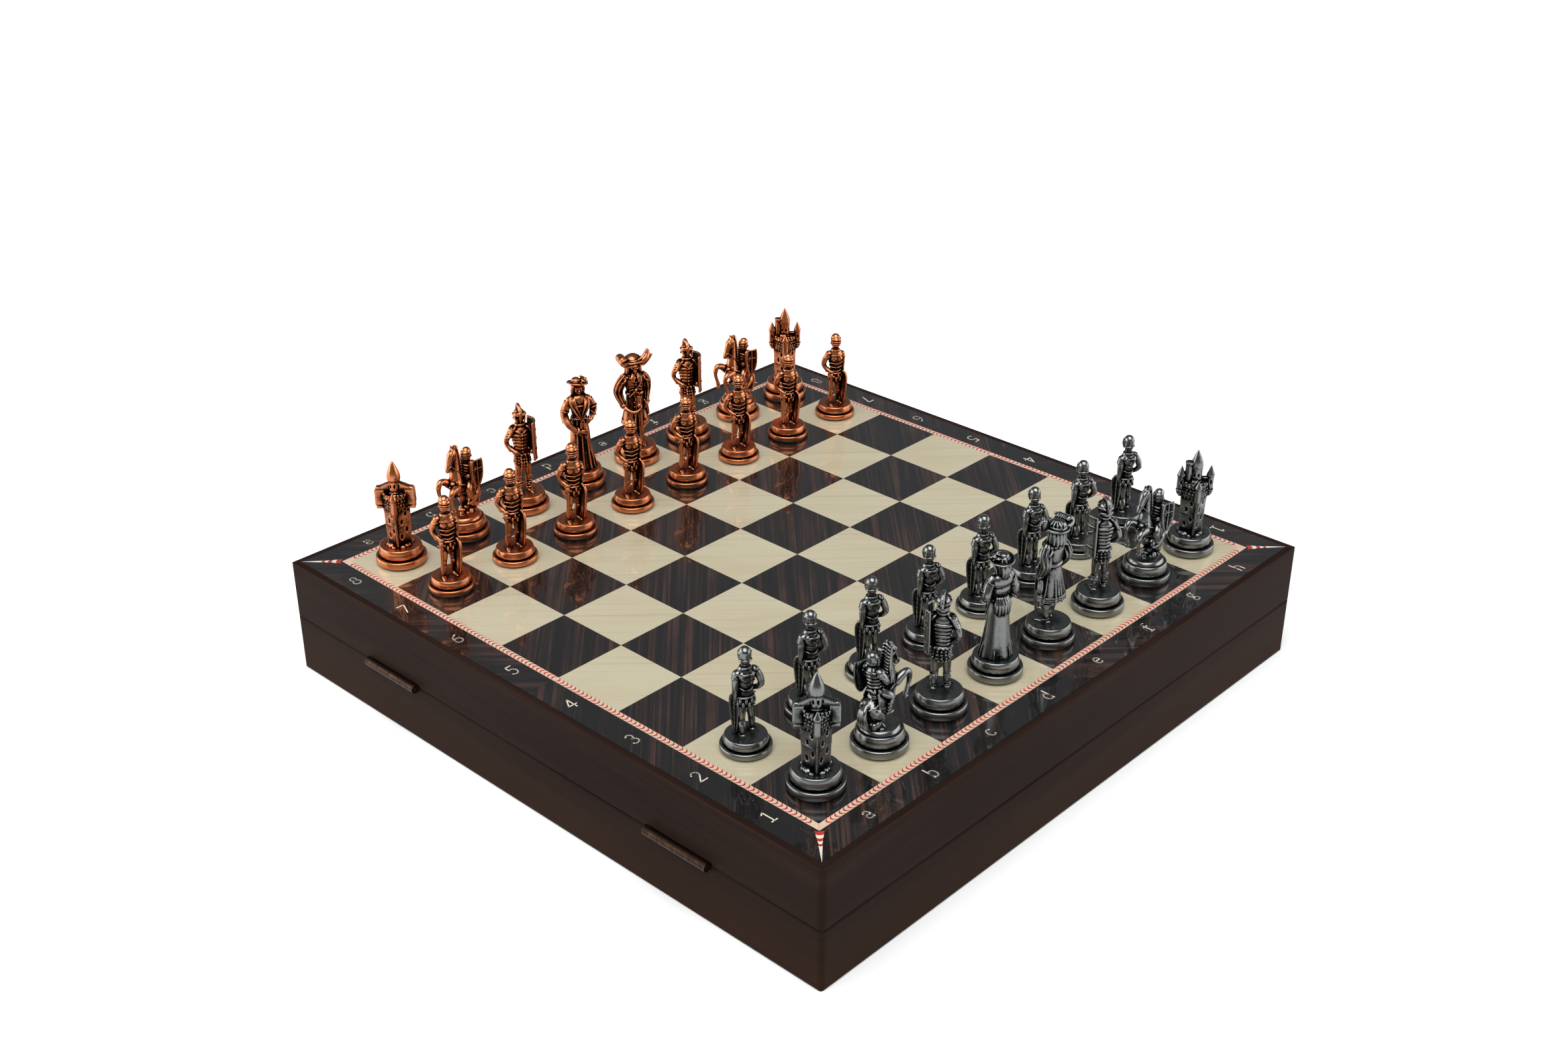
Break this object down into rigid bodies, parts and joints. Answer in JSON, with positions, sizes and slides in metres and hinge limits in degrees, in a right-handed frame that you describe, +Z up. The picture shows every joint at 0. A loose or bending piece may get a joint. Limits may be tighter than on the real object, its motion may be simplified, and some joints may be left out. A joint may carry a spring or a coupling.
{
  "type": "chess set with board",
  "caption": "Hinged wooden storage case with an inlaid chessboard lid, a lined tray inside, and two armies of cast metal figure chessmen standing on it.",
  "frame": {"origin": "centre of the case's underside", "axes": "+X along the files from a to h, +Y along the ranks from 1 to 8, +Z up through the board"},
  "size_m": [0.3444, 0.341, 0.121],
  "materials": {
    "case_wood": "satin dark walnut stain",
    "panel_wood": "plain sealed panel",
    "dark_veneer": "glossy lacquered macassar ebony",
    "light_veneer": "glossy lacquered maple",
    "string_inlay": "glossy lacquered dyed inlay",
    "tray_cloth": "black velvet",
    "hinge_metal": "dark bronze",
    "magnet": "nickel plate",
    "silver_metal": "antique silver with dark recesses",
    "copper_metal": "antique copper with dark recesses"
  },
  "bodies": {
    "base": {"base_wall_hinge_side": "case_wood", "base_wall_opening_side": "case_wood", "base_wall_front": "case_wood", "base_wall_back": "case_wood", "base_floor": "panel_wood", "base_lining": "tray_cloth", "tray_rails": "tray_cloth", "tray_dividers": "tray_cloth", "hinge_front_base_leaf": "hinge_metal", "hinge_back_base_leaf": "hinge_metal", "hinge_front_pin": "hinge_metal", "hinge_back_pin": "hinge_metal", "base_hinge_screws": "hinge_metal", "base_magnets": "magnet"},
    "lid": {"lid_wall_hinge_side": "case_wood", "lid_wall_opening_side": "case_wood", "lid_wall_front": "case_wood", "lid_wall_back": "case_wood", "board_core": "panel_wood", "lid_lining": "tray_cloth", "dark_squares": "dark_veneer", "light_squares": "light_veneer", "inlay_string": "string_inlay", "border_veneer": "dark_veneer", "hinge_front_lid_leaf": "hinge_metal", "hinge_back_lid_leaf": "hinge_metal", "lid_hinge_screws": "hinge_metal", "lid_magnets": "magnet"},
    "silver_rook_a1": {"silver_rook_a1": "silver_metal"},
    "silver_knight_b1": {"silver_knight_b1": "silver_metal"},
    "silver_bishop_c1": {"silver_bishop_c1": "silver_metal"},
    "silver_queen_d1": {"silver_queen_d1": "silver_metal"},
    "silver_king_e1": {"silver_king_e1": "silver_metal"},
    "silver_bishop_f1": {"silver_bishop_f1": "silver_metal"},
    "silver_knight_g1": {"silver_knight_g1": "silver_metal"},
    "silver_rook_h1": {"silver_rook_h1": "silver_metal"},
    "silver_pawn_a2": {"silver_pawn_a2": "silver_metal"},
    "silver_pawn_b2": {"silver_pawn_b2": "silver_metal"},
    "silver_pawn_c2": {"silver_pawn_c2": "silver_metal"},
    "silver_pawn_d2": {"silver_pawn_d2": "silver_metal"},
    "silver_pawn_e2": {"silver_pawn_e2": "silver_metal"},
    "silver_pawn_f2": {"silver_pawn_f2": "silver_metal"},
    "silver_pawn_g2": {"silver_pawn_g2": "silver_metal"},
    "silver_pawn_h2": {"silver_pawn_h2": "silver_metal"},
    "copper_rook_a8": {"copper_rook_a8": "copper_metal"},
    "copper_knight_b8": {"copper_knight_b8": "copper_metal"},
    "copper_bishop_c8": {"copper_bishop_c8": "copper_metal"},
    "copper_queen_d8": {"copper_queen_d8": "copper_metal"},
    "copper_king_e8": {"copper_king_e8": "copper_metal"},
    "copper_bishop_f8": {"copper_bishop_f8": "copper_metal"},
    "copper_knight_g8": {"copper_knight_g8": "copper_metal"},
    "copper_rook_h8": {"copper_rook_h8": "copper_metal"},
    "copper_pawn_a7": {"copper_pawn_a7": "copper_metal"},
    "copper_pawn_b7": {"copper_pawn_b7": "copper_metal"},
    "copper_pawn_c7": {"copper_pawn_c7": "copper_metal"},
    "copper_pawn_d7": {"copper_pawn_d7": "copper_metal"},
    "copper_pawn_e7": {"copper_pawn_e7": "copper_metal"},
    "copper_pawn_f7": {"copper_pawn_f7": "copper_metal"},
    "copper_pawn_g7": {"copper_pawn_g7": "copper_metal"},
    "copper_pawn_h7": {"copper_pawn_h7": "copper_metal"}
  },
  "joints": [
    {"name": "lid_hinge", "type": "hinge", "parent": "base", "child": "lid", "pos_m": [-0.1719, 0, 0.0288], "axis": [0, -1, 0], "range_deg": [0, 110]},
    {"name": "lift_silver_rook_a1", "type": "slide", "parent": "lid", "child": "silver_rook_a1", "axis": [0, 0, 1], "range_m": [0, 0.08]},
    {"name": "lift_silver_knight_b1", "type": "slide", "parent": "lid", "child": "silver_knight_b1", "axis": [0, 0, 1], "range_m": [0, 0.08]},
    {"name": "lift_silver_bishop_c1", "type": "slide", "parent": "lid", "child": "silver_bishop_c1", "axis": [0, 0, 1], "range_m": [0, 0.08]},
    {"name": "lift_silver_queen_d1", "type": "slide", "parent": "lid", "child": "silver_queen_d1", "axis": [0, 0, 1], "range_m": [0, 0.08]},
    {"name": "lift_silver_king_e1", "type": "slide", "parent": "lid", "child": "silver_king_e1", "axis": [0, 0, 1], "range_m": [0, 0.08]},
    {"name": "lift_silver_bishop_f1", "type": "slide", "parent": "lid", "child": "silver_bishop_f1", "axis": [0, 0, 1], "range_m": [0, 0.08]},
    {"name": "lift_silver_knight_g1", "type": "slide", "parent": "lid", "child": "silver_knight_g1", "axis": [0, 0, 1], "range_m": [0, 0.08]},
    {"name": "lift_silver_rook_h1", "type": "slide", "parent": "lid", "child": "silver_rook_h1", "axis": [0, 0, 1], "range_m": [0, 0.08]},
    {"name": "lift_silver_pawn_a2", "type": "slide", "parent": "lid", "child": "silver_pawn_a2", "axis": [0, 0, 1], "range_m": [0, 0.08]},
    {"name": "lift_silver_pawn_b2", "type": "slide", "parent": "lid", "child": "silver_pawn_b2", "axis": [0, 0, 1], "range_m": [0, 0.08]},
    {"name": "lift_silver_pawn_c2", "type": "slide", "parent": "lid", "child": "silver_pawn_c2", "axis": [0, 0, 1], "range_m": [0, 0.08]},
    {"name": "lift_silver_pawn_d2", "type": "slide", "parent": "lid", "child": "silver_pawn_d2", "axis": [0, 0, 1], "range_m": [0, 0.08]},
    {"name": "lift_silver_pawn_e2", "type": "slide", "parent": "lid", "child": "silver_pawn_e2", "axis": [0, 0, 1], "range_m": [0, 0.08]},
    {"name": "lift_silver_pawn_f2", "type": "slide", "parent": "lid", "child": "silver_pawn_f2", "axis": [0, 0, 1], "range_m": [0, 0.08]},
    {"name": "lift_silver_pawn_g2", "type": "slide", "parent": "lid", "child": "silver_pawn_g2", "axis": [0, 0, 1], "range_m": [0, 0.08]},
    {"name": "lift_silver_pawn_h2", "type": "slide", "parent": "lid", "child": "silver_pawn_h2", "axis": [0, 0, 1], "range_m": [0, 0.08]},
    {"name": "lift_copper_rook_a8", "type": "slide", "parent": "lid", "child": "copper_rook_a8", "axis": [0, 0, 1], "range_m": [0, 0.08]},
    {"name": "lift_copper_knight_b8", "type": "slide", "parent": "lid", "child": "copper_knight_b8", "axis": [0, 0, 1], "range_m": [0, 0.08]},
    {"name": "lift_copper_bishop_c8", "type": "slide", "parent": "lid", "child": "copper_bishop_c8", "axis": [0, 0, 1], "range_m": [0, 0.08]},
    {"name": "lift_copper_queen_d8", "type": "slide", "parent": "lid", "child": "copper_queen_d8", "axis": [0, 0, 1], "range_m": [0, 0.08]},
    {"name": "lift_copper_king_e8", "type": "slide", "parent": "lid", "child": "copper_king_e8", "axis": [0, 0, 1], "range_m": [0, 0.08]},
    {"name": "lift_copper_bishop_f8", "type": "slide", "parent": "lid", "child": "copper_bishop_f8", "axis": [0, 0, 1], "range_m": [0, 0.08]},
    {"name": "lift_copper_knight_g8", "type": "slide", "parent": "lid", "child": "copper_knight_g8", "axis": [0, 0, 1], "range_m": [0, 0.08]},
    {"name": "lift_copper_rook_h8", "type": "slide", "parent": "lid", "child": "copper_rook_h8", "axis": [0, 0, 1], "range_m": [0, 0.08]},
    {"name": "lift_copper_pawn_a7", "type": "slide", "parent": "lid", "child": "copper_pawn_a7", "axis": [0, 0, 1], "range_m": [0, 0.08]},
    {"name": "lift_copper_pawn_b7", "type": "slide", "parent": "lid", "child": "copper_pawn_b7", "axis": [0, 0, 1], "range_m": [0, 0.08]},
    {"name": "lift_copper_pawn_c7", "type": "slide", "parent": "lid", "child": "copper_pawn_c7", "axis": [0, 0, 1], "range_m": [0, 0.08]},
    {"name": "lift_copper_pawn_d7", "type": "slide", "parent": "lid", "child": "copper_pawn_d7", "axis": [0, 0, 1], "range_m": [0, 0.08]},
    {"name": "lift_copper_pawn_e7", "type": "slide", "parent": "lid", "child": "copper_pawn_e7", "axis": [0, 0, 1], "range_m": [0, 0.08]},
    {"name": "lift_copper_pawn_f7", "type": "slide", "parent": "lid", "child": "copper_pawn_f7", "axis": [0, 0, 1], "range_m": [0, 0.08]},
    {"name": "lift_copper_pawn_g7", "type": "slide", "parent": "lid", "child": "copper_pawn_g7", "axis": [0, 0, 1], "range_m": [0, 0.08]},
    {"name": "lift_copper_pawn_h7", "type": "slide", "parent": "lid", "child": "copper_pawn_h7", "axis": [0, 0, 1], "range_m": [0, 0.08]}
  ]
}
